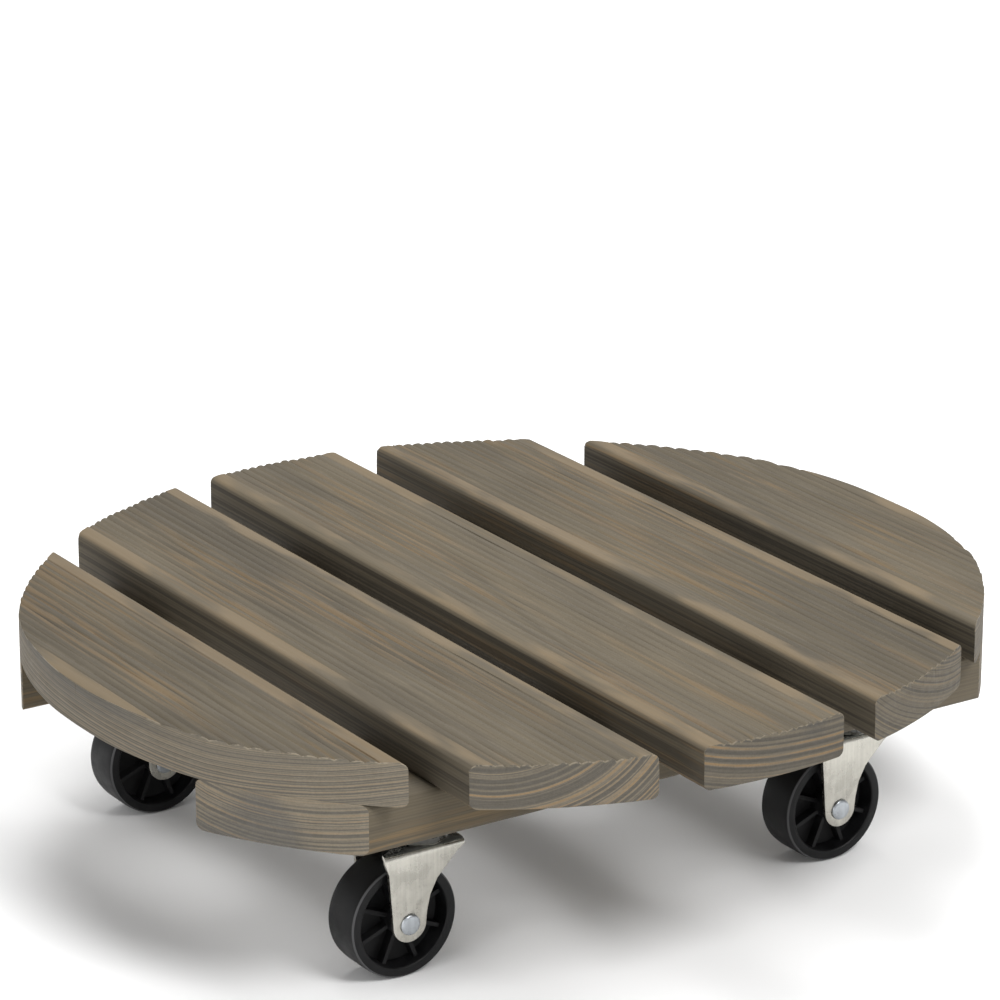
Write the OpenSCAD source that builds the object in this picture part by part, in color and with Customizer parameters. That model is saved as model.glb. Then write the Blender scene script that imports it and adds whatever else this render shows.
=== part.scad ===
// Round slatted plant pot caddy on four swivel casters.
// Millimetres, +Z up. Boards run along X, battens along Y.
// Origin: on the floor, under the middle of the deck.

/* [Deck] */
// Longest board, tip to tip along X
deck_length = 400; // [390:1:480]
// How far each end curve's centre lies past the deck's middle
end_flat = 18; // [12:1:24]
// How much larger than half the deck's length the side curves' radius is
side_flat = 16; // [8:1:24]
// Width of each board
board_width = 69; // [56:0.5:74]
// Thickness of each board
board_thickness = 19; // [17:0.5:26]
// Gap between neighbouring boards
board_gap = 19; // [10:0.5:22]
// Radius of the rounded long edges of boards and battens
arris_radius = 3; // [1:0.25:4]

/* [Grip ribs] */
// Number of ribs planed into the top of each board
rib_count = 12; // [8:1:14]
// Depth of the grooves between ribs
rib_depth = 0.8; // [0.6:0.1:2]
// Smooth margin left along each long edge
rib_margin = 8; // [6:0.5:10]

/* [Battens] */
// Width of each batten
batten_width = 62; // [56:1:66]
// Thickness of each batten
batten_thickness = 22; // [20:0.5:30]
// Distance from the deck's middle to each batten's middle
batten_offset = 106; // [96:1:110]

/* [Deck screws] */
// Thread diameter of the deck screws
deck_screw_d = 4; // [3:0.1:4.5]
// Head diameter of the deck screws
deck_screw_head_d = 8; // [7:0.1:9]
// How far a deck screw enters the board
deck_screw_bite = 12; // [8:0.5:14]

/* [Caster] */
// Distance from the deck's middle to each swivel pin along X
caster_offset = 102; // [98:1:108]
// How far each swivel pin stands inboard of the gap before the outer board
caster_inset = 23; // [16:1:28]
// Caster height from the floor to its mounting plate's top
caster_height = 70; // [70:1:88]
// Wheel diameter
wheel_d = 50; // [41:1:52]
// Wheel rim width
wheel_width = 19.5; // [14:0.5:20]
// How far the axle sits behind the swivel pin
caster_trail = 12.5; // [8:0.5:14]
// Angle of every caster at rest, turned about +Z from trailing towards -Y
caster_angle = 0; // [-180:1:180]

/* [Caster plate] */
// Mounting plate size along X
plate_x = 46; // [42:1:50]
// Mounting plate size along Y
plate_y = 60; // [56:1:68]
// Mounting plate sheet thickness
plate_t = 2; // [1.5:0.1:2.5]
// Screw spacing along X
plate_screw_x = 32; // [29:1:34]
// Screw spacing along Y
plate_screw_y = 46; // [42:1:48]
// Diameter of the plate's screw holes
plate_hole_d = 4.6; // [4.3:0.1:5]
// Thread diameter of the plate screws
plate_screw_d = 4; // [3.5:0.1:4.2]

/* [Fork] */
// Sheet thickness of the fork
fork_t = 1.8; // [1.2:0.1:2]
// Outside width of the fork across its two legs
fork_width = 28; // [26:0.5:32]
// Length of the fork's crown along its rolling direction
crown_length = 38; // [34:1:42]
// How far the crown's middle sits behind the swivel pin
crown_shift = 5; // [2:0.5:7]
// Radius of the leg's round end, about the axle
leg_radius = 7.8; // [7:0.1:9]

/* [Fits] */
// Radial running clearance of the wheel on its axle
axle_clearance = 0.08; // [0.02:0.01:0.1]
// Radial running clearance of the fork on its swivel pin
swivel_clearance = 0.08; // [0.02:0.01:0.1]
// Clearance of the bearing balls in each race
ball_clearance = 0.1; // [0.05:0.01:0.2]
// Gap between faces that turn past each other
side_gap = 0.4; // [0.3:0.05:0.5]

/* [Hidden] */
$fn = 64;

// Heights
z_batten = caster_height;
z_board = z_batten + batten_thickness;
z_top = z_board + board_thickness;

// Deck outline: four shallow curves, two across the board ends and two along the outer boards
end_radius = deck_length / 2 + end_flat;
board_pitch = board_width + board_gap;
deck_half = 2 * board_pitch + board_width / 2;
side_radius = deck_length / 2 + side_flat;
side_centre = deck_half - 0.5 - side_radius;
rib_pitch = (board_width - 2 * rib_margin) / rib_count;
caster_spread = 1.5 * board_pitch - caster_inset;

// Deck screws
deck_screw_head_h = (deck_screw_head_d - deck_screw_d) / 2;
deck_screw_sunk = 0.3;
pilot_d = deck_screw_d - 0.8;
through_d = deck_screw_d + 0.4;
outer_inner_edge = 1.5 * board_pitch + board_gap / 2;

// Plate screws
plate_screw_length = 18;
plate_screw_head_d = 7.6;
plate_screw_head_h = 2.2;

// Caster levels
wheel_r = wheel_d / 2;
plate_bottom = caster_height - plate_t;
pin_r = 3.5;
pin_head_r = 6;
pin_head_h = 2;
crown_top = caster_height - 12.8;
crown_rear = -crown_shift - crown_length / 2;
crown_front = -crown_shift + crown_length / 2;
crown_bottom = crown_top - fork_t;
ball_r = 1.75;
ball_ring_r = 7.6;
ball_count = 12;
race_r = 11;
ball_z = crown_top + 3.4;
boss_bottom = ball_z + 1.2;
cup_floor = ball_z - 1.2;
cup_lip = boss_bottom - side_gap;
lip_inner_r = race_r - 1.2;
cup_skirt_r = race_r + 1.6;
notch_floor = -cup_skirt_r - 1;
notch_half = fork_width / 2 - fork_t - 0.8;
pin_recess_floor = plate_bottom - 0.4 - pin_head_h + 1;

// Wheel
axle_r = 3;
axle_head_r = 4.5;
axle_head_h = 1.3;
hub_r = 6.6;
hub_half = fork_width / 2 - fork_t - side_gap;
rim_half = wheel_width / 2;
rim_ring = 5;
web_half = 1.6;
spoke_count = 8;
spoke_t = 1.7;
spoke_half = rim_half - 3.6;

caster_x = [caster_offset, caster_offset, -caster_offset, -caster_offset];
caster_y = [-caster_spread, caster_spread, -caster_spread, caster_spread];

wood = [0.42, 0.38, 0.31];
zinc = [0.78, 0.78, 0.75];
black = [0.08, 0.08, 0.08];

function arc(cx, cz, r, a0, a1, n) =
  [for (i = [0:n]) [cx + r * cos(a0 + (a1 - a0) * i / n), cz + r * sin(a0 + (a1 - a0) * i / n)]];

// One rib as steps across its width and depths below the crown
rib_at = [0.16, 0.34, 0.5, 0.66, 0.84, 1];
rib_drop = [0.5, 0.13, 0, 0.13, 0.5, 1];

module board_section() {
  w = board_width / 2;
  r = arris_radius;
  t = board_thickness;
  polygon(concat(
    arc(-w + r, r, r, 180, 270, 4),
    arc(w - r, r, r, 270, 360, 4),
    arc(w - r, t - r, r, 0, 90, 4),
    [[w - rib_margin + 0.3, t], [w - rib_margin, t - rib_depth]],
    [for (k = [0:rib_count - 1], i = [0:5])
      [w - rib_margin - rib_pitch * (k + rib_at[i]), t - rib_depth * rib_drop[i]]],
    [[-w + rib_margin - 0.3, t]],
    arc(-w + r, t - r, r, 90, 180, 4)
  ));
}

module batten_section() {
  w = batten_width / 2;
  r = arris_radius;
  t = batten_thickness;
  polygon(concat(
    arc(-w + r, r, r, 180, 270, 4),
    arc(w - r, r, r, 270, 360, 4),
    arc(w - r, t - r, r, 0, 90, 4),
    arc(-w + r, t - r, r, 90, 180, 4)
  ));
}

module deck_outline(z0, z1) {
  intersection() {
    translate([-end_flat, 0, z0]) cylinder(r = end_radius, h = z1 - z0);
    translate([end_flat, 0, z0]) cylinder(r = end_radius, h = z1 - z0);
    translate([0, side_centre, z0]) cylinder(r = side_radius, h = z1 - z0);
    translate([0, -side_centre, z0]) cylinder(r = side_radius, h = z1 - z0);
  }
}

// Screw places of one board on one batten, batten side s, board k from -2 to 2
function screw_places(s, k) =
  abs(k) == 2
    ? [[s * (batten_offset + 10), sign(k) * (outer_inner_edge + 11)],
       [s * (batten_offset - 14), sign(k) * (outer_inner_edge + 27)]]
    : [[s * (batten_offset + 12), k * board_pitch - 15],
       [s * (batten_offset - 12), k * board_pitch + 15]];

function plate_places() =
  [for (c = [0:3], i = [-1, 1], j = [-1, 1])
    [caster_x[c] + i * plate_screw_x / 2, caster_y[c] + j * plate_screw_y / 2]];

module slat(k) {
  color(wood) difference() {
    intersection() {
      translate([-deck_length / 2 - 1, k * board_pitch, z_board])
        rotate([90, 0, 90]) linear_extrude(deck_length + 2) board_section();
      deck_outline(z_board - 1, z_top + 1);
    }
    for (s = [-1, 1], p = screw_places(s, k))
      translate([p[0], p[1], z_board - 1]) cylinder(d = pilot_d, h = deck_screw_bite + 1);
  }
}

module batten(s) {
  color(wood) difference() {
    intersection() {
      translate([s * batten_offset, deck_half + 1, z_batten])
        rotate([90, 0, 0]) linear_extrude(2 * deck_half + 2) batten_section();
      deck_outline(z_batten - 1, z_board + 1);
    }
    for (k = [-2:2], p = screw_places(s, k)) translate([p[0], p[1], z_batten]) {
      translate([0, 0, -1]) cylinder(d = through_d, h = batten_thickness + 2);
      translate([0, 0, -1]) cylinder(d = deck_screw_head_d + 0.4, h = 1 + deck_screw_sunk);
      translate([0, 0, deck_screw_sunk]) cylinder(
        d1 = deck_screw_head_d + 0.4, d2 = through_d, h = deck_screw_head_h);
    }
    for (p = plate_places()) translate([p[0], p[1], z_batten - 1])
      cylinder(d = plate_screw_d - 0.8, h = plate_screw_length - plate_t + 1);
  }
}

module cross_recess(d, depth) {
  for (a = [0, 90]) rotate([0, 0, a])
    translate([-d * 0.28, -0.45, -1]) cube([d * 0.56, 0.9, depth + 1]);
}

module deck_screw() {
  difference() {
    union() {
      cylinder(d1 = deck_screw_head_d, d2 = deck_screw_d, h = deck_screw_head_h);
      cylinder(d = deck_screw_d, h = batten_thickness + deck_screw_bite - deck_screw_sunk - 3);
      translate([0, 0, batten_thickness + deck_screw_bite - deck_screw_sunk - 3])
        cylinder(d1 = deck_screw_d, d2 = 1, h = 2.5);
    }
    cross_recess(deck_screw_head_d, 1.6);
  }
}

module plate_screw() {
  difference() {
    union() {
      rotate_extrude() polygon([
        [0, -plate_screw_head_h], [plate_screw_head_d * 0.3, -plate_screw_head_h],
        [plate_screw_head_d * 0.44, -plate_screw_head_h * 0.72],
        [plate_screw_head_d / 2, -plate_screw_head_h * 0.3],
        [plate_screw_head_d / 2, 0], [0, 0]]);
      cylinder(d = plate_screw_d, h = plate_screw_length - 3);
      translate([0, 0, plate_screw_length - 3]) cylinder(d1 = plate_screw_d, d2 = 1, h = 2.5);
    }
    translate([0, 0, -plate_screw_head_h]) cross_recess(plate_screw_head_d, 1.3);
  }
}

module deck_screws() {
  color(zinc) for (s = [-1, 1], k = [-2:2], p = screw_places(s, k))
    translate([p[0], p[1], z_batten + deck_screw_sunk]) deck_screw();
}

module plate_screws() {
  color(zinc) for (p = plate_places()) translate([p[0], p[1], plate_bottom]) plate_screw();
}

module at_caster(c) {
  translate([caster_x[c], caster_y[c], 0]) children();
}

module plate(c) {
  color(zinc) at_caster(c) difference() {
    union() {
      for (i = [-1, 1], j = [-1, 1])
        translate([i * (plate_x / 2 - 5), j * (plate_y / 2 - 5), plate_bottom])
          cylinder(r = 5, h = plate_t);
      translate([-plate_x / 2 + 5, -plate_y / 2, plate_bottom]) cube([plate_x - 10, plate_y, plate_t]);
      translate([-plate_x / 2, -plate_y / 2 + 5, plate_bottom]) cube([plate_x, plate_y - 10, plate_t]);
      translate([0, 0, boss_bottom]) cylinder(r = race_r, h = plate_bottom - boss_bottom + 0.5);
    }
    for (i = [-1, 1], j = [-1, 1])
      translate([i * plate_screw_x / 2, j * plate_screw_y / 2, plate_bottom - 1])
        cylinder(d = plate_hole_d, h = plate_t + 2);
    translate([0, 0, pin_recess_floor]) cylinder(r = pin_head_r + 0.5, h = 10);
    translate([0, 0, boss_bottom - 1]) cylinder(r = pin_r, h = 20);
    translate([0, 0, ball_z]) rotate_extrude()
      translate([ball_ring_r, 0]) circle(r = ball_r + ball_clearance);
  }
}

module kingpin(c) {
  color(zinc) at_caster(c) union() {
    translate([0, 0, pin_recess_floor]) cylinder(r = pin_head_r, h = pin_head_h);
    translate([0, 0, crown_bottom - side_gap - pin_head_h])
      cylinder(r = pin_r, h = pin_recess_floor - crown_bottom + side_gap + pin_head_h + 0.5);
    translate([0, 0, crown_bottom - side_gap - pin_head_h]) rotate_extrude()
      polygon([[0, 0], [pin_head_r - 1.2, 0], [pin_head_r, 0.9], [pin_head_r, pin_head_h], [0, pin_head_h]]);
  }
}

module balls(c) {
  color(zinc) at_caster(c) for (i = [0:ball_count - 1]) rotate([0, 0, i * 360 / ball_count])
    translate([ball_ring_r, 0, ball_z]) sphere(r = ball_r);
}

module swivelled(c) {
  at_caster(c) rotate([0, 0, caster_angle]) children();
}

// Outline of one fork leg: across is along the rolling direction, up is +Z
module leg_outline() {
  translate([-caster_trail, wheel_r]) circle(r = leg_radius);
  polygon([
    [-caster_trail - leg_radius, wheel_r],
    [-caster_trail + leg_radius, wheel_r],
    [-caster_trail + leg_radius + 0.4, wheel_r + 4],
    [-caster_trail + leg_radius + 2, wheel_r + 11],
    [-caster_trail + leg_radius + 5.4, wheel_r + 17.5],
    [crown_front - 4, crown_top - 5.4],
    [crown_front, crown_top - 2.4],
    [crown_front, crown_top - 1],
    [crown_rear, crown_top - 1],
    [crown_rear, crown_top - 3.5],
    [crown_rear + 1.8, crown_top - 8.5]
  ]);
}

// Cross-section of the folded sheet: a flat crown with two rounded shoulders
module fork_section() {
  w = fork_width / 2;
  r = 2.6;
  difference() {
    polygon(concat([[-w, 0], [w, 0]],
      arc(w - r, crown_top - r, r, 0, 90, 4), arc(-w + r, crown_top - r, r, 90, 180, 4)));
    translate([0, -1]) polygon(concat([[-w + fork_t, 0], [w - fork_t, 0]],
      arc(w - r, crown_bottom - r + fork_t + 1, r - fork_t, 0, 90, 3),
      arc(-w + r, crown_bottom - r + fork_t + 1, r - fork_t, 90, 180, 3)));
  }
}

module fork(c) {
  color(zinc) swivelled(c) difference() {
    union() {
      intersection() {
        translate([0, crown_front + 12, 0]) rotate([90, 0, 0])
          linear_extrude(crown_length + 24) fork_section();
        union() {
          translate([-fork_width / 2 - 1, 0, 0]) rotate([90, 0, 90])
            linear_extrude(fork_width + 2) leg_outline();
          translate([-fork_width / 2 - 1, crown_rear, crown_bottom - 0.5])
            cube([fork_width + 2, crown_length, fork_t + 2]);
        }
      }
      translate([0, 0, crown_top - 0.4])
        cylinder(r1 = cup_skirt_r, r2 = race_r - 0.4, h = cup_lip - crown_top + 0.4);
    }
    translate([0, 0, crown_bottom - 4]) linear_extrude(fork_t + 5) polygon([
      [-notch_half, crown_rear - 1], [notch_half, crown_rear - 1], [notch_half, crown_rear + 1],
      [5.5, notch_floor], [-5.5, notch_floor], [-notch_half, crown_rear + 1]]);
    translate([0, 0, crown_bottom - 1]) cylinder(r = pin_r + swivel_clearance, h = 20);
    translate([0, 0, cup_floor]) cylinder(r = lip_inner_r, h = 20);
    translate([0, 0, ball_z]) rotate_extrude()
      translate([ball_ring_r, 0]) circle(r = ball_r + ball_clearance);
    translate([-fork_width / 2 - 1, -caster_trail, wheel_r]) rotate([0, 90, 0])
      cylinder(r = axle_r, h = fork_width + 2);
  }
}

module axle(c) {
  color(zinc) swivelled(c) translate([0, -caster_trail, wheel_r]) rotate([0, 90, 0])
    rotate_extrude() polygon([
      [0, -fork_width / 2 - axle_head_h],
      [axle_head_r - 0.9, -fork_width / 2 - axle_head_h],
      [axle_head_r, -fork_width / 2 - axle_head_h + 0.6],
      [axle_head_r, -fork_width / 2], [axle_r, -fork_width / 2],
      [axle_r, fork_width / 2], [axle_head_r, fork_width / 2],
      [axle_head_r, fork_width / 2 + axle_head_h - 0.6],
      [axle_head_r - 0.9, fork_width / 2 + axle_head_h],
      [0, fork_width / 2 + axle_head_h]]);
}

module wheel(c) {
  color(black) swivelled(c) translate([0, -caster_trail, wheel_r]) rotate([0, 90, 0])
    difference() {
      union() {
        rotate_extrude() polygon([
          [axle_r + axle_clearance, -hub_half], [hub_r - 0.4, -hub_half], [hub_r, -hub_half + 0.4],
          [hub_r, -web_half],
          [wheel_r - rim_ring, -web_half], [wheel_r - rim_ring + 0.5, -rim_half + 0.5],
          [wheel_r - rim_ring + 0.9, -rim_half], [wheel_r - 0.9, -rim_half],
          [wheel_r - 0.25, -rim_half + 0.7], [wheel_r, -rim_half + 3],
          [wheel_r, rim_half - 3], [wheel_r - 0.25, rim_half - 0.7],
          [wheel_r - 0.9, rim_half], [wheel_r - rim_ring + 0.9, rim_half],
          [wheel_r - rim_ring + 0.5, rim_half - 0.5], [wheel_r - rim_ring, web_half],
          [hub_r, web_half], [hub_r, hub_half - 0.4],
          [hub_r - 0.4, hub_half], [axle_r + axle_clearance, hub_half]]);
        for (i = [0:spoke_count - 1]) rotate([0, 0, 22 + i * 360 / spoke_count])
          translate([hub_r - 0.5, -spoke_t / 2, -spoke_half])
            cube([wheel_r - rim_ring - hub_r + 1, spoke_t, 2 * spoke_half]);
      }
    }
}

slat(-2);  // slat_1
slat(-1);  // slat_2
slat(0);  // slat_3
slat(1);  // slat_4
slat(2);  // slat_5
batten(1);  // batten_front
batten(-1);  // batten_rear
deck_screws();
plate_screws();
plate(0);  // plate_1
plate(1);  // plate_2
plate(2);  // plate_3
plate(3);  // plate_4
kingpin(0);  // kingpin_1
kingpin(1);  // kingpin_2
kingpin(2);  // kingpin_3
kingpin(3);  // kingpin_4
balls(0);  // balls_1
balls(1);  // balls_2
balls(2);  // balls_3
balls(3);  // balls_4
fork(0);  // fork_1
fork(1);  // fork_2
fork(2);  // fork_3
fork(3);  // fork_4
axle(0);  // axle_1
axle(1);  // axle_2
axle(2);  // axle_3
axle(3);  // axle_4
wheel(0);  // wheel_1
wheel(1);  // wheel_2
wheel(2);  // wheel_3
wheel(3);  // wheel_4
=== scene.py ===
"""Looks of the plant pot caddy: stained boards, battens and casters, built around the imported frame."""
import math
import random

import bmesh
import bpy
import numpy as np
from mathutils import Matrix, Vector


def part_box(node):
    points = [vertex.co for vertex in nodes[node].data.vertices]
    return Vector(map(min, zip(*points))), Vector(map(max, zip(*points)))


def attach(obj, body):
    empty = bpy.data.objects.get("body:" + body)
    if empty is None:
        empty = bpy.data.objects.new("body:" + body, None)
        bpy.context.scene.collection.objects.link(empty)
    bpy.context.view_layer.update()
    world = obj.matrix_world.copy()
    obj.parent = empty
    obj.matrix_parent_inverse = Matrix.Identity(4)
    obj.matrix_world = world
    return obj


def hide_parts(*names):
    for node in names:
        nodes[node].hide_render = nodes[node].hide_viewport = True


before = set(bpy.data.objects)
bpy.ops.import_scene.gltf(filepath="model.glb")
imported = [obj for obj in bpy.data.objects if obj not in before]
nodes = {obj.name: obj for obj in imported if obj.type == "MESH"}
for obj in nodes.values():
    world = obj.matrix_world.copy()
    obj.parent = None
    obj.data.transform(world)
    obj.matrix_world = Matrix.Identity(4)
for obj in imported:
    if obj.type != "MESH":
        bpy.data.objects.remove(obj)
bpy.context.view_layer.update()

MM = 0.001

# Board section
RIBS = 12
RIB_DEPTH = 0.8 * MM
RIB_MARGIN = 8 * MM
ARRIS = 3 * MM
SIDE_FLAT = 16 * MM
RIB_POWER = 2.0

# Board grid: columns to a rib, places along, rows down, how much closer together the places lie near the
# ends, and how far the columns of an outer board's curved side stand in from it
RIB_SAMPLES = 8
STATIONS = 91
ROWS = 6
END_CROWDING = 1.35
SIDE_STEPS = [0.0, 0.06, 0.3, 0.7, 1.25, 2.0, 3.0, 4.2, 5.6]
SIDE_CLEAR = 0.4 * MM
SIDE_ROUNDING = 0.35

# Unevenness of the planed face: depth along a rib as a share of its depth, waves up and to the side
RIB_LIFT = 0.12
RIB_WAVE = 0.07 * MM
RIB_SWAY = 0.16 * MM

# Ribs torn at the cut ends: how many are left whole, how far in and how deep, and the saw's bite in mm at the
# top edge and all over
TORN_FROM = 0.45
TORN_REACH = 2.5 * MM
TORN_DEPTH = 0.35 * MM
TOP_BITE = 0.22
SAW_BITE = 0.012

# Wood, before the stain: red, green and blue
STAIN = (0.72, 0.69, 0.64)
FACE_DARK = (0.082, 0.070, 0.052)
FACE_PALE = (0.185, 0.160, 0.118)
FACE_DULL = (0.118, 0.103, 0.078)
FACE_WARM = (0.30, 0.20, 0.098)
FACE_PALE_STREAK = (0.200, 0.172, 0.124)
FACE_DARK_STREAK = (0.070, 0.058, 0.042)
FACE_SIDE_LINE = (0.036, 0.032, 0.028)
FACE_WORN = (0.27, 0.212, 0.138)
FACE_TORN = (0.34, 0.30, 0.23)
END_DARK = (0.118, 0.111, 0.098)
END_PALE = (0.218, 0.193, 0.153)
END_WARM = (0.34, 0.225, 0.115)
END_COLD = (0.105, 0.105, 0.104)
END_TORN = (0.36, 0.32, 0.25)

# Growth rings: spacing on the faces, slow bend along the board, and fine ripple on faces and ends
RING = 1.45 * MM
RING_BEND = 0.014
FACE_RIPPLE = 0.0007
END_RIPPLE = 0.0003

# Each board: pith beside and above its middle in mm, end ring spacing in mm, warmth, face tone, end tone
BOARDS = [
    (-10, 170, 1.3, 0.2, 0.74, 1.12),
    (-25, 45, 1.6, 0.6, 0.8, 0.93),
    (25, 160, 2.9, 0.75, 0.81, 0.78),
    (40, 80, 2.2, 0.3, 0.79, 0.8),
    (-20, 120, 1.7, 0.4, 0.82, 0.9),
]

# Batten: rings' spacing and pith beside and above its middle, and how near the outline a face is cut end
BATTEN_RING = 2.1 * MM
BATTEN_PITH = (9 * MM, 120 * MM)
BATTEN_END = 2.5 * MM

# Edges rounded over on the copies of CAD nodes
BATTEN_EDGE = 0.25 * MM
FORK_EDGE = 0.45 * MM
WHEEL_EDGE = 0.3 * MM
AXLE_EDGE = 0.3 * MM
PLATE_EDGE = 0.35 * MM

# Wheel's moulded edge, paler as a painted highlight: how far in from the tread it starts and ends, and how far
# in from the face
HIGHLIGHT_FROM = 0.05 * MM
HIGHLIGHT_TO = 1.15 * MM
HIGHLIGHT_OVER = 0.95 * MM

# How far below a fork's top its race cup and its flat crown reach; these faces get the darker zinc, a painted
# shade
CUP_DEPTH = 4 * MM
CROWN_DEPTH = 5.5 * MM

# Camera, fitted to the object: where it stands round the deck's middle
CAMERA_AZIMUTH = math.radians(56.87)
CAMERA_ELEVATION = math.radians(20.19)
CAMERA_DISTANCE = 1.9508
CAMERA_LENS = 162.04
CAMERA_SENSOR = 36
CAMERA_PAN = -0.0011
CAMERA_TILT = 0.0191

FLOOR_HALF = 14


def deck_outline():
    """Radius and centre of the curve across the board ends, and of the one along the outer boards' sides."""
    half_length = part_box("slat_3")[1].x
    low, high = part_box("slat_5")
    short = half_length - high.x
    radius = (short ** 2 + low.y ** 2) / (2 * short)
    side_radius = half_length + SIDE_FLAT
    return radius, radius - half_length, side_radius, side_radius - high.y


END_RADIUS, END_CENTRE, SIDE_RADIUS, SIDE_CENTRE = deck_outline()
BOARD_HALF = (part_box("slat_3")[1].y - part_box("slat_3")[0].y) / 2
Z_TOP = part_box("slat_3")[1].z


def add_object(name, data):
    thing = bpy.data.objects.new(name, data)
    bpy.context.scene.collection.objects.link(thing)
    return thing


# ---------------------------------------------------------------- materials

class Nodes:
    """Short calls for building one material's nodes."""

    def __init__(self, name):
        self.material = bpy.data.materials.new(name)
        self.material.use_nodes = True
        self.tree = self.material.node_tree
        self.shader = self.tree.nodes["Principled BSDF"]

    def add(self, kind, **values):
        node = self.tree.nodes.new(kind)
        for key, value in values.items():
            if key in node.inputs:
                node.inputs[key].default_value = value
            else:
                setattr(node, key, value)
        return node

    def link(self, source, target):
        self.tree.links.new(source, target)

    def feed(self, socket, value):
        if isinstance(value, bpy.types.NodeSocket):
            self.link(value, socket)
        else:
            socket.default_value = value

    def place(self, scale=(1, 1, 1), shift=(0, 0, 0)):
        coords = self.add("ShaderNodeTexCoord")
        mapping = self.add("ShaderNodeMapping")
        mapping.inputs["Scale"].default_value = scale
        mapping.inputs["Location"].default_value = shift
        self.link(coords.outputs["Object"], mapping.inputs["Vector"])
        return mapping.outputs["Vector"]

    def noise(self, vector, scale=1.0, detail=2.0, roughness=0.5, distortion=0.0):
        node = self.add("ShaderNodeTexNoise")
        node.inputs["Scale"].default_value = scale
        node.inputs["Detail"].default_value = detail
        node.inputs["Roughness"].default_value = roughness
        node.inputs["Distortion"].default_value = distortion
        self.link(vector, node.inputs["Vector"])
        return node.outputs["Fac"]

    def math(self, operation, a, b=0.0, clamp=False):
        node = self.add("ShaderNodeMath", operation=operation, use_clamp=clamp)
        self.feed(node.inputs[0], a)
        self.feed(node.inputs[1], b)
        return node.outputs[0]

    def span(self, value, low, high, out_low=0.0, out_high=1.0, smooth=True):
        node = self.add("ShaderNodeMapRange", interpolation_type="SMOOTHSTEP" if smooth else "LINEAR")
        self.feed(node.inputs["Value"], value)
        node.inputs["From Min"].default_value = low
        node.inputs["From Max"].default_value = high
        node.inputs["To Min"].default_value = out_low
        node.inputs["To Max"].default_value = out_high
        return node.outputs["Result"]

    def mix(self, factor, a, b, blend="MIX"):
        node = self.add("ShaderNodeMix", data_type="RGBA", blend_type=blend)
        self.feed(node.inputs["Factor"], factor)
        self.feed(node.inputs[6], a)
        self.feed(node.inputs[7], b)
        return node.outputs[2]

    def grey(self, value):
        node = self.add("ShaderNodeCombineColor")
        for channel in range(3):
            self.feed(node.inputs[channel], value)
        return node.outputs[0]

    def bump(self, height, strength, distance):
        node = self.add("ShaderNodeBump")
        node.inputs["Strength"].default_value = strength
        node.inputs["Distance"].default_value = distance
        self.link(height, node.inputs["Height"])
        self.link(node.outputs["Normal"], self.shader.inputs["Normal"])


class Wood(Nodes):
    """Grey-brown stained softwood: rings run round a pith line at pith (across, up), fibres along one axis."""

    def __init__(self, name, seed, pith, along, tone, ripple):
        super().__init__(name)
        rng = random.Random(seed)
        self.shift = (rng.uniform(0, 9), rng.uniform(0, 9), rng.uniform(0, 9))
        self.axis = 0 if along == "x" else 1
        self.tone = tone
        self.radius = self.ring_radius(pith, ripple)
        self.fibre = self.noise(self.stretched(9, 1500), detail=3.0, roughness=0.62)
        self.streak = self.noise(self.stretched(2.6, 300), detail=3.0, roughness=0.6)
        self.flecks = self.noise(self.stretched(14, 480), detail=2.0, roughness=0.6)

    def stretched(self, along_scale, across_scale):
        """Coordinates for a noise drawn out along the fibres."""
        scale = [across_scale] * 3
        scale[self.axis] = along_scale
        return self.place(tuple(scale), self.shift)

    def centred(self, noise, amount):
        return self.math("MULTIPLY", self.math("SUBTRACT", noise, 0.5), amount)

    def ring_radius(self, pith, ripple):
        """Distance from the pith line, bent slowly along the board."""
        split = self.add("ShaderNodeSeparateXYZ")
        self.link(self.place(), split.inputs[0])
        across = split.outputs["Y" if self.axis == 0 else "X"]
        wander = self.centred(self.noise(self.stretched(3.2, 9), detail=1.0), RING_BEND)
        ripple = self.centred(self.noise(self.stretched(12, 160), detail=2.0), ripple)
        dy = self.math("SUBTRACT", across, pith[0])
        dz = self.math("SUBTRACT", split.outputs["Z"], pith[1])
        squares = self.math("ADD", self.math("MULTIPLY", dy, dy), self.math("MULTIPLY", dz, dz))
        radius = self.math("SQRT", squares)
        return self.math("ADD", self.math("ADD", radius, wander), ripple)

    def colour(self, rgb):
        return (*(part * self.tone * stain for part, stain in zip(rgb, STAIN)), 1)

    def tint(self, base, amount, rgb):
        """Lay one more wood colour over base."""
        return self.mix(amount, base, self.colour(rgb))

    def shade(self, base, value):
        """Darken or lighten base by a grey value."""
        return self.mix(1.0, base, self.grey(value), "MULTIPLY")

    def attribute(self, name):
        return self.add("ShaderNodeAttribute", attribute_name=name).outputs["Fac"]

    def done(self, base, height, strength):
        self.link(base, self.shader.inputs["Base Color"])
        rough = self.span(self.streak, 0.3, 0.7, 0.66, 0.9, smooth=False)
        self.link(rough, self.shader.inputs["Roughness"])
        self.shader.inputs["Specular IOR Level"].default_value = 0.28
        self.bump(height, strength, 0.25 * MM)
        return self.material


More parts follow.
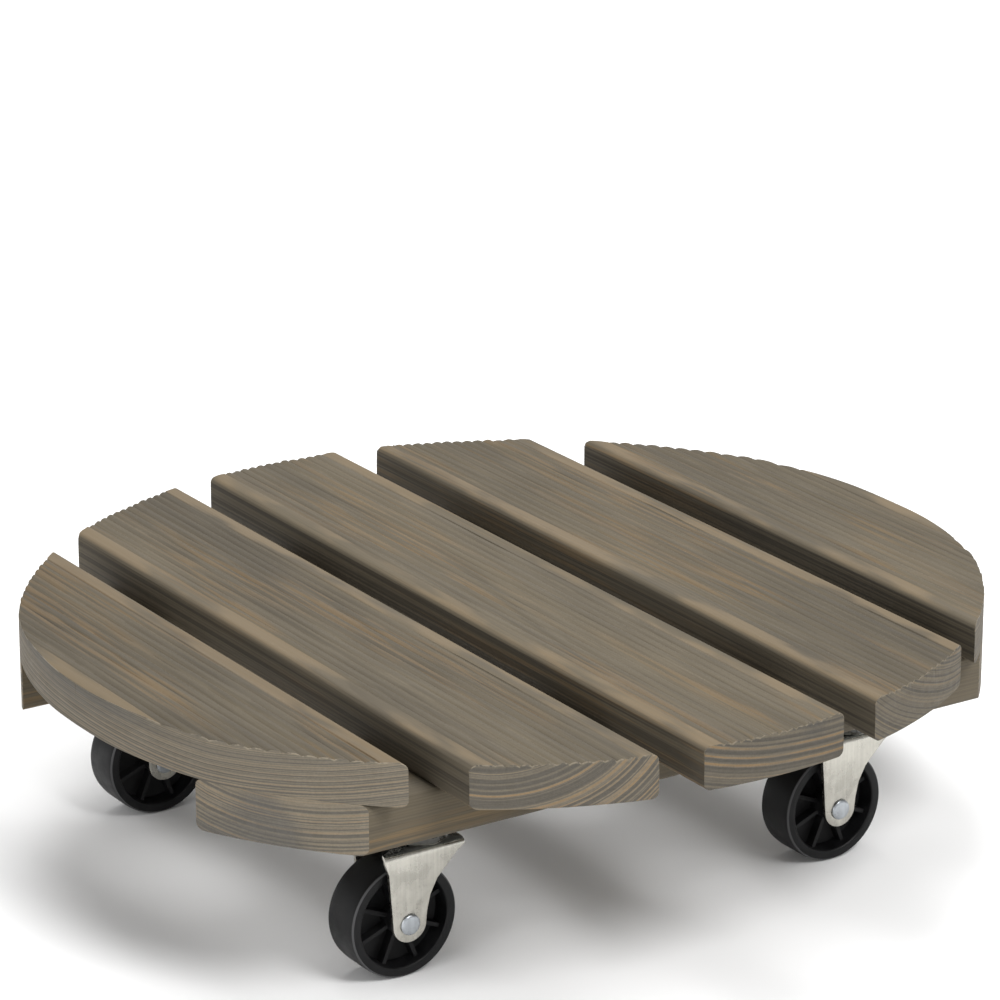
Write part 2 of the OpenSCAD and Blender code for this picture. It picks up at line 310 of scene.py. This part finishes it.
def wood_face(name, seed, pith, along="x", tone=1.0):
    """Planed faces: latewood lines, grey and orange streaks, worn margins and fluff at torn ends."""
    n = Wood(name, seed, pith, along, tone, FACE_RIPPLE)
    ring = n.math("MULTIPLY", n.radius, 1 / RING)
    phase = n.math("FRACT", ring)
    late = n.math("MULTIPLY", n.span(phase, 0.3, 0.85), n.span(phase, 0.88, 1.0, 1.0, 0.0))
    year = n.add("ShaderNodeTexWhiteNoise", noise_dimensions="1D")
    n.link(n.math("FLOOR", ring), year.inputs["W"])
    late = n.math("MULTIPLY", late, n.span(year.outputs["Value"], 0.0, 1.0, 0.35, 1.0, smooth=False))

    patch = n.noise(n.stretched(4.5, 22), detail=3.0, roughness=0.55)
    base = n.mix(n.span(patch, 0.3, 0.7), n.colour(FACE_DULL), n.colour(FACE_PALE))
    base = n.tint(base, n.math("MULTIPLY", late, 0.36), FACE_DARK)
    base = n.tint(base, n.math("MULTIPLY", n.span(n.streak, 0.48, 0.7), 0.42), FACE_PALE_STREAK)
    base = n.tint(base, n.math("MULTIPLY", n.span(n.streak, 0.44, 0.26), 0.32), FACE_DARK_STREAK)
    warm_zone = n.noise(n.stretched(6, 42), detail=2.0)
    glow = n.math("MULTIPLY", n.span(warm_zone, 0.46, 0.62), n.span(n.flecks, 0.46, 0.6))
    base = n.tint(base, n.math("MULTIPLY", glow, 0.42), FACE_WARM)
    base = n.shade(base, n.span(n.fibre, 0.2, 0.8, 0.82, 1.18, smooth=False))
    # Painted light: the rib grooves are lightened, up to 12% at their floors, to offset the shade that falls in
    # them
    base = n.shade(base, n.span(n.attribute("groove"), 0.05, 0.9, 0.98, 1.12))

    lines = n.noise(n.stretched(1.6, 640), detail=1.0, roughness=0.5)
    band = n.math("ADD", n.math("MULTIPLY", late, 0.2), n.span(lines, 0.52, 0.42))
    band = n.math("MULTIPLY", band, n.attribute("side"))
    base = n.tint(base, n.math("MULTIPLY", band, 0.48, clamp=True), FACE_SIDE_LINE)
    worn = n.noise(n.stretched(13, 60), detail=2.5, roughness=0.6)
    wear_and_highlight = n.math("MULTIPLY", n.attribute("rim"), n.span(worn, 0.42, 0.6, 0.05, 0.8))
    base = n.tint(base, wear_and_highlight, FACE_WORN)
    fluff = n.math("MULTIPLY", n.span(n.attribute("torn"), 0.5, 0.9), n.span(n.flecks, 0.45, 0.6))
    base = n.tint(base, n.math("MULTIPLY", fluff, 0.6), FACE_TORN)
    lows = n.math("MULTIPLY", n.math("ADD", n.streak, late), 0.35)
    return n.done(base, n.math("ADD", n.math("MULTIPLY", n.fibre, 0.7), lows), 0.4)


def wood_end(name, seed, pith, ring_gap, warmth, along="x", tone=1.0):
    """Sawn end grain: rings about ring_gap apart, orange where warmth is high, saw marks and a torn top edge."""
    n = Wood(name, seed, pith, along, tone, END_RIPPLE)
    line = n.add("ShaderNodeCombineXYZ")
    n.link(n.radius, line.inputs[0])
    line.inputs[1].default_value = n.shift[0]
    rings = n.noise(line.outputs[0], scale=1.7 / ring_gap, detail=1.0)
    base = n.mix(n.span(rings, 0.40, 0.58), n.colour(END_DARK), n.colour(END_PALE))
    broad = n.noise(n.stretched(3, 26), detail=0.5)
    base = n.tint(base, n.math("MULTIPLY", n.span(broad, 0.6, 0.72), 0.6), END_COLD)
    warm_zone = n.noise(n.stretched(6, 20))
    glow = n.math("MULTIPLY", n.span(rings, 0.55, 0.64), n.span(warm_zone, 0.36, 0.56))
    base = n.tint(base, n.math("MULTIPLY", glow, warmth), END_WARM)
    saw = n.noise(n.place((60, 60, 1100), n.shift), detail=2.0)
    base = n.shade(base, n.span(saw, 0.3, 0.7, 0.95, 1.05))
    base = n.shade(base, n.span(n.fibre, 0.2, 0.8, 0.86, 1.14, smooth=False))
    fluff = n.math("MULTIPLY", n.span(n.attribute("torn"), 0.72, 0.95), n.span(n.flecks, 0.42, 0.58))
    base = n.tint(base, n.math("MULTIPLY", fluff, 0.75), END_TORN)
    marks = n.math("ADD", n.math("MULTIPLY", saw, 0.4), rings)
    return n.done(base, n.math("ADD", n.math("MULTIPLY", n.fibre, 0.4), marks), 0.3)


def zinc(name, colour, roughness, streak_axis=2, strength=1.0):
    """Zinc-plated sheet: faint drawing streaks, strengthened in the colour as painted highlight streaks, cloudy
    plating and small dull spots.
    """
    n = Nodes(name)
    scale = [700, 700, 700]
    scale[streak_axis] = 22
    streaks = n.noise(n.place(tuple(scale)), detail=3.0, roughness=0.6)
    cloud = n.noise(n.place(), scale=95, detail=4.0, roughness=0.6)
    spots = n.noise(n.place(), scale=900, detail=2.0)
    tone = n.span(cloud, 0.3, 0.7, 0.84, 1.06)
    tone = n.math("MULTIPLY", tone, n.span(spots, 0.62, 0.75, 1.0, 0.9))
    # Colour streaks: real drawing streaks, and painted highlight streaks like those on the fork legs
    tone = n.math("MULTIPLY", tone, n.span(streaks, 0.3, 0.7, 0.93, 1.07))
    n.link(n.mix(1.0, (*colour, 1), n.grey(tone), "MULTIPLY"), n.shader.inputs["Base Color"])
    rough = n.math("ADD", n.span(cloud, 0.3, 0.7, roughness - 0.07, roughness + 0.1),
                   n.math("MULTIPLY", n.math("SUBTRACT", streaks, 0.5), 0.12))
    n.link(rough, n.shader.inputs["Roughness"])
    n.shader.inputs["Metallic"].default_value = 1.0
    n.bump(n.math("ADD", streaks, n.math("MULTIPLY", cloud, 0.6)), 0.18 * strength, 0.12 * MM)
    return n.material


def black_plastic(name, wear_and_highlight):
    """Moulded black plastic: fine grain, scuffed patches and dust, and a paler painted highlight in the share
    given by the second argument.
    """
    n = Nodes(name)
    grain = n.noise(n.place(), scale=2600, detail=2.0)
    cloud = n.noise(n.place(), scale=120, detail=4.0, roughness=0.65)
    scuff = n.noise(n.place((300, 900, 900)), detail=3.0, roughness=0.7)
    tone = n.mix(n.span(cloud, 0.35, 0.7), (0.0035, 0.0035, 0.0038, 1), (0.0075, 0.0075, 0.008, 1))
    # Painted highlight: the paler grey stands for light caught along the wheel's moulded edge
    tone = n.mix(wear_and_highlight, tone, (0.06, 0.06, 0.062, 1))
    tone = n.mix(n.span(scuff, 0.66, 0.78, 0.0, 0.5), tone, (0.035, 0.035, 0.037, 1))
    n.link(tone, n.shader.inputs["Base Color"])
    n.link(n.span(cloud, 0.3, 0.7, 0.4, 0.56), n.shader.inputs["Roughness"])
    n.shader.inputs["Specular IOR Level"].default_value = 0.22
    n.bump(n.math("ADD", grain, n.math("MULTIPLY", scuff, 0.8)), 0.16, 0.08 * MM)
    return n.material


def pale_floor():
    n = Nodes("floor_pale")
    n.shader.inputs["Base Color"].default_value = (0.86, 0.86, 0.86, 1)
    n.shader.inputs["Roughness"].default_value = 0.9
    n.shader.inputs["Specular IOR Level"].default_value = 0.1
    return n.material


# ---------------------------------------------------------------- boards

def rib_drop(y, half_width):
    """How far the ribbed face lies below the rib crowns at y, as a share of the rib depth."""
    inner = half_width - RIB_MARGIN
    if abs(y) >= inner:
        return 0.0
    position = (y + inner) / (2 * inner) * RIBS
    return abs(2 * (position - math.floor(position)) - 1) ** RIB_POWER


def section_columns(half_width):
    """Places across a board: fine over the rounded edges and ribs, coarse elsewhere."""
    arris = [half_width - ARRIS + ARRIS * math.sin(math.radians(a)) for a in (0, 18, 36, 54, 70, 80, 90)]
    inner = half_width - RIB_MARGIN
    ribs = list(np.linspace(-inner, inner, RIBS * RIB_SAMPLES + 1))
    margin = [inner + 0.25 * MM, inner + (half_width - ARRIS - inner) * 0.5]
    right = margin + arris
    return sorted([-y for y in right]) + ribs + right


def stations(count):
    """Places along a board from -1 to 1, closer together near the cut ends."""
    return [math.copysign(1 - (1 - abs(u)) ** END_CROWDING, u) for u in np.linspace(-1, 1, count)]


def board_reach(y):
    """How far the deck's outline stands from its middle, along X, at one y."""
    end = math.sqrt(END_RADIUS ** 2 - y ** 2) - END_CENTRE
    side = math.sqrt(max(SIDE_RADIUS ** 2 - (abs(y) + SIDE_CENTRE) ** 2, 0))
    return min(end, side)


def waves(rng, count, low, high):
    """A smooth random function of one number, between about -1 and 1."""
    parts = [(rng.uniform(low, high), rng.uniform(0, 2 * math.pi)) for _ in range(count)]
    return lambda x: sum(math.sin(f * x + p) for f, p in parts) / math.sqrt(count)


def ribbed_board(node, seed):
    """One board as a closed grid: ribbed face, rounded long edges, slightly torn cut ends."""
    low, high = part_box(node)
    rng = random.Random(seed)
    half_width = BOARD_HALF
    middle = low.y + half_width if high.y + low.y > -1e-4 else high.y - half_width
    rim_y = max(abs(low.y), abs(high.y))
    columns = section_columns(half_width)
    curved = abs(middle) + half_width - rim_y > 0.1 * MM
    if curved:
        outer = [math.copysign(rim_y - abs(middle) - step * MM, middle) for step in SIDE_STEPS]
        inmost = abs(outer[-1]) - SIDE_CLEAR
        columns = sorted([y for y in columns if y * middle < 0 or abs(y) < inmost] + outer)
    along = stations(STATIONS)
    rows = ROWS
    nx, ny = len(along), len(columns)

    lift = [waves(rng, 3, 15, 70) for _ in range(RIBS + 2)]
    sway = [waves(rng, 3, 12, 50) for _ in range(RIBS + 2)]
    torn = [[rng.random() for _ in range(RIBS + 2)] for _ in range(2)]
    ragged = [[rng.gauss(0, 1) for _ in range(ny)] for _ in range(2)]

    index = {}
    points = []
    groove = []
    side = []
    rim = []
    cut = []

    def rib_number(y):
        inner = half_width - RIB_MARGIN
        return int(min(max((y + inner) / (2 * inner) * RIBS + 1, 0), RIBS + 1))

    for i, s in enumerate(along):
        end = 0 if s < 0 else 1
        for j, y in enumerate(columns):
            edge = half_width - abs(y)
            round_off = ARRIS - math.sqrt(max(ARRIS ** 2 - (ARRIS - edge) ** 2, 0)) if edge < ARRIS else 0.0
            world_y = middle + y
            if curved and abs(world_y) > abs(middle) + half_width - ARRIS:
                round_off *= SIDE_ROUNDING
            reach = board_reach(world_y)
            x = s * reach
            drop = rib_drop(y, half_width)
            rib = rib_number(y)
            top = high.z - round_off
            sideways = 0.0
            if edge > RIB_MARGIN - 0.3 * MM:
                depth = RIB_DEPTH * drop * (1 + RIB_LIFT * lift[rib](x * 2.3 + 5))
                top -= depth + RIB_WAVE * (1 + lift[rib](x))
                sideways = RIB_SWAY * sway[rib](x) * (1 - drop)
                close = (1 - abs(s)) * reach
                if close < TORN_REACH and torn[end][rib] > TORN_FROM:
                    top -= TORN_DEPTH * torn[end][rib] * (1 - close / TORN_REACH) ** 2
            top = min(top, high.z)
            bottom = low.z + round_off
            for q in range(rows + 1):
                if 0 < i < nx - 1 and 0 < j < ny - 1 and 0 < q < rows:
                    continue
                share = q / rows
                z = top + (bottom - top) * share
                px = x
                if i in (0, nx - 1):
                    edge_bite = TOP_BITE * abs(ragged[end][j]) * (1 - share) ** 6
                    bite = edge_bite + SAW_BITE * abs(ragged[end][(j * 7 + q * 3) % ny])
                    px -= math.copysign(bite * MM, s)
                index[i, j, q] = len(points)
                points.append((px, world_y + (sideways if q == 0 else 0.0), z))
                groove.append(drop if q == 0 and edge > RIB_MARGIN else 0.0)
                side.append(1.0 if edge < 0.1 * MM else 0.0)
                on_margin = q == 0 and ARRIS * 0.4 < edge < RIB_MARGIN + 0.1 * MM
                on_arris = q == 0 and 0.3 * MM < edge <= ARRIS * 0.4
                rim.append(1.0 if on_margin else 0.35 if on_arris else 0.0)
                cut.append(1.0 if q == 0 and i in (0, nx - 1) else 0.0)

    faces = []
    kinds = []

    def quad(a, b, c, d, kind=0):
        faces.append((index[a], index[b], index[c], index[d]))
        kinds.append(kind)

    for i in range(nx - 1):
        for j in range(ny - 1):
            quad((i, j, 0), (i + 1, j, 0), (i + 1, j + 1, 0), (i, j + 1, 0))
            quad((i, j, rows), (i, j + 1, rows), (i + 1, j + 1, rows), (i + 1, j, rows))
        for q in range(rows):
            quad((i, 0, q), (i, 0, q + 1), (i + 1, 0, q + 1), (i + 1, 0, q))
            quad((i, ny - 1, q), (i + 1, ny - 1, q), (i + 1, ny - 1, q + 1), (i, ny - 1, q + 1))
    for j in range(ny - 1):
        for q in range(rows):
            quad((0, j, q), (0, j + 1, q), (0, j + 1, q + 1), (0, j, q + 1), 1)
            quad((nx - 1, j, q), (nx - 1, j, q + 1), (nx - 1, j + 1, q + 1), (nx - 1, j + 1, q), 1)

    mesh = bpy.data.meshes.new(node + "_board")
    mesh.from_pydata(points, [], faces)
    mesh.polygons.foreach_set("material_index", kinds)
    for name, values in (("groove", groove), ("side", side), ("rim", rim), ("torn", cut)):
        mesh.attributes.new(name, "FLOAT", "POINT").data.foreach_set("value", values)
    mesh.shade_smooth()
    mesh.set_sharp_from_angle(angle=math.radians(50))
    return add_object(node + "_board", mesh)


# ---------------------------------------------------------------- hardware

def softened(node, width, segments=2, sharp=30):
    """A copy of a CAD node with its flat faces joined and its hard edges rounded over."""
    mesh = bpy.data.meshes.new(node + "_piece")
    work = bmesh.new()
    work.from_mesh(nodes[node].data)
    bmesh.ops.remove_doubles(work, verts=work.verts, dist=1e-6)
    bmesh.ops.dissolve_limit(work, angle_limit=math.radians(0.6), verts=work.verts, edges=work.edges)
    hard = [e for e in work.edges if len(e.link_faces) == 2 and e.calc_face_angle(0) > math.radians(sharp)]
    bmesh.ops.bevel(work, geom=hard, offset=width, offset_type="OFFSET", segments=segments,
                    profile=0.5, affect="EDGES", clamp_overlap=True)
    work.to_mesh(mesh)
    work.free()
    mesh.shade_smooth()
    mesh.set_sharp_from_angle(angle=math.radians(40))
    return add_object(node + "_piece", mesh)


def paint_edge_highlight(wheel, node):
    """Give a wheel's thin moulded edge, between tread and face, the second material, which is paler as a painted
    highlight.
    """
    low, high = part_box(node)
    centre = (low + high) / 2
    radius = (high.z - low.z) / 2
    outs = [math.hypot(v.co.y - centre.y, v.co.z - centre.z) for v in wheel.data.vertices]
    overs = [abs(v.co.x - centre.x) for v in wheel.data.vertices]
    rim_half = max(over for over, out in zip(overs, outs) if out > radius * 0.9)
    for face in wheel.data.polygons:
        if all(radius - HIGHLIGHT_TO < outs[v] < radius - HIGHLIGHT_FROM and overs[v] > rim_half - HIGHLIGHT_OVER
               for v in face.vertices):
            face.material_index = 1


def give(piece, *materials):
    """Put materials on a piece's slots. Clearing slots also clears which face has which, so a new piece, with
    none, skips it."""
    if piece.data.materials:
        piece.data.materials.clear()
    for material in materials:
        piece.data.materials.append(material)


def stand_for(piece, node, body):
    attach(piece, body)
    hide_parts(node)


def make_boards():
    for k, (beside, above, ring_gap, warmth, face_tone, end_tone) in enumerate(BOARDS):
        node = f"slat_{k + 1}"
        low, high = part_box(node)
        pith = ((low.y + high.y) / 2 + beside * MM, high.z + above * MM)
        board = ribbed_board(node, 11 + k)
        give(board, wood_face(node + "_face", 31 + k, pith, tone=face_tone),
             wood_end(node + "_end", 51 + k, pith, ring_gap * MM, warmth, tone=end_tone))
        stand_for(board, node, "deck")


def make_battens():
    for k, node in enumerate(("batten_front", "batten_rear")):
        low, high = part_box(node)
        pith = ((low.x + high.x) / 2 + BATTEN_PITH[0], high.z + BATTEN_PITH[1])
        batten = softened(node, BATTEN_EDGE, segments=1, sharp=50)
        give(batten, wood_face(node + "_face", 71 + k, pith, along="y", tone=0.95),
             wood_end(node + "_end", 81 + k, pith, BATTEN_RING, 0.3, along="y", tone=1.12))
        for face in batten.data.polygons:
            centre = face.center
            reach = math.sqrt(END_RADIUS ** 2 - (abs(centre.x) + END_CENTRE) ** 2)
            if abs(face.normal.z) < 0.3 and abs(centre.y) > reach - BATTEN_END:
                face.material_index = 1
        stand_for(batten, node, "deck")


def make_casters():
    sheet = zinc("zinc_sheet", (0.50, 0.485, 0.435), 0.28)
    # Darker zinc for the race cup and the crown's top: painted shade under the batten
    crown_shade = zinc("zinc_crown_painted_shade", (0.20, 0.20, 0.19), 0.26, streak_axis=1)
    plate = zinc("zinc_plate", (0.36, 0.36, 0.34), 0.36, streak_axis=1)
    rivet = zinc("zinc_rivet", (0.42, 0.445, 0.47), 0.3)
    steel = zinc("ball_bright", (0.75, 0.75, 0.76), 0.14, strength=0.2)
    screw = zinc("zinc_screw", (0.60, 0.59, 0.55), 0.3)
    black = black_plastic("wheel_black", 0.0)
    # Paler black plastic for the wheels' moulded edge: a painted highlight
    edge_highlight = black_plastic("wheel_painted_highlight", 1.0)
    for k in range(1, 5):
        fork = softened(f"fork_{k}", FORK_EDGE)
        give(fork, sheet, crown_shade)
        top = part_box(f"fork_{k}")[1].z
        # The race cup and the flat crown top take the darker zinc, painted shade
        for face in fork.data.polygons:
            cup = face.center.z > top - CUP_DEPTH and face.normal.z > 0.1
            flat = face.center.z > top - CROWN_DEPTH and face.normal.z > 0.75
            if cup or flat:
                face.material_index = 1
        stand_for(fork, f"fork_{k}", f"swivel_{k}")
        wheel = softened(f"wheel_{k}", WHEEL_EDGE)
        give(wheel, black, edge_highlight)
        paint_edge_highlight(wheel, f"wheel_{k}")
        stand_for(wheel, f"wheel_{k}", f"roller_{k}")
        axle = softened(f"axle_{k}", AXLE_EDGE)
        give(axle, rivet)
        stand_for(axle, f"axle_{k}", f"swivel_{k}")
        base = softened(f"plate_{k}", PLATE_EDGE)
        give(base, plate)
        stand_for(base, f"plate_{k}", "deck")
        give(nodes[f"kingpin_{k}"], plate)
        give(nodes[f"balls_{k}"], steel)
    give(nodes["deck_screws"], screw)
    give(nodes["plate_screws"], screw)


# ---------------------------------------------------------------- studio

def make_floor():
    mesh = bpy.data.meshes.new("floor")
    far = FLOOR_HALF
    mesh.from_pydata([(-far, -far, 0), (far, -far, 0), (far, far, 0), (-far, far, 0)], [], [(0, 1, 2, 3)])
    floor = add_object("floor", mesh)
    give(floor, pale_floor())


def area_light(name, place, target, size, power):
    light = bpy.data.lights.new(name, "AREA")
    light.shape = "DISK"
    light.size = size
    light.energy = power
    lamp = add_object(name, light)
    lamp.location = place
    lamp.rotation_euler = (Vector(target) - Vector(place)).to_track_quat("-Z", "Y").to_euler()


def make_studio():
    world = bpy.data.worlds.new("studio")
    world.use_nodes = True
    background = world.node_tree.nodes["Background"]
    background.inputs["Color"].default_value = (1, 1, 1, 1)
    background.inputs["Strength"].default_value = 0.6
    bpy.context.scene.world = world
    right = Vector((math.cos(CAMERA_AZIMUTH), math.sin(CAMERA_AZIMUTH), 0))
    front = Vector((math.sin(CAMERA_AZIMUTH), -math.cos(CAMERA_AZIMUTH), 0))
    up = Vector((0, 0, 1))
    area_light("key", front + right * 0.9 + up * 1.6, up * 0.06, size=0.9, power=30)
    area_light("fill", front * 1.5 - right * 1.1 + up * 0.7, up * 0.05, size=1.2, power=8)
    area_light("back", -front * 4.2 + up * 3.2, -front * 4.4, size=4.5, power=90)
    area_light("top", -front * 0.5 - right * 0.2 + up * 1.9, up * 0.06, size=1.2, power=22)


def make_camera():
    back = Vector((math.sin(CAMERA_AZIMUTH) * math.cos(CAMERA_ELEVATION),
                   -math.cos(CAMERA_AZIMUTH) * math.cos(CAMERA_ELEVATION), math.sin(CAMERA_ELEVATION)))
    right = Vector((math.cos(CAMERA_AZIMUTH), math.sin(CAMERA_AZIMUTH), 0))
    up = back.cross(right)
    aim = -back + right * CAMERA_PAN + up * CAMERA_TILT
    data = bpy.data.cameras.new("camera")
    data.lens = CAMERA_LENS
    data.sensor_width = CAMERA_SENSOR
    data.clip_end = 100
    camera = add_object("camera", data)
    camera.location = Vector((0, 0, Z_TOP)) + back * CAMERA_DISTANCE
    camera.rotation_euler = aim.to_track_quat("-Z", "Y").to_euler()
    bpy.context.scene.camera = camera
    bpy.context.scene.view_settings.view_transform = "Standard"


make_boards()
make_battens()
make_casters()
make_floor()
make_studio()
make_camera()
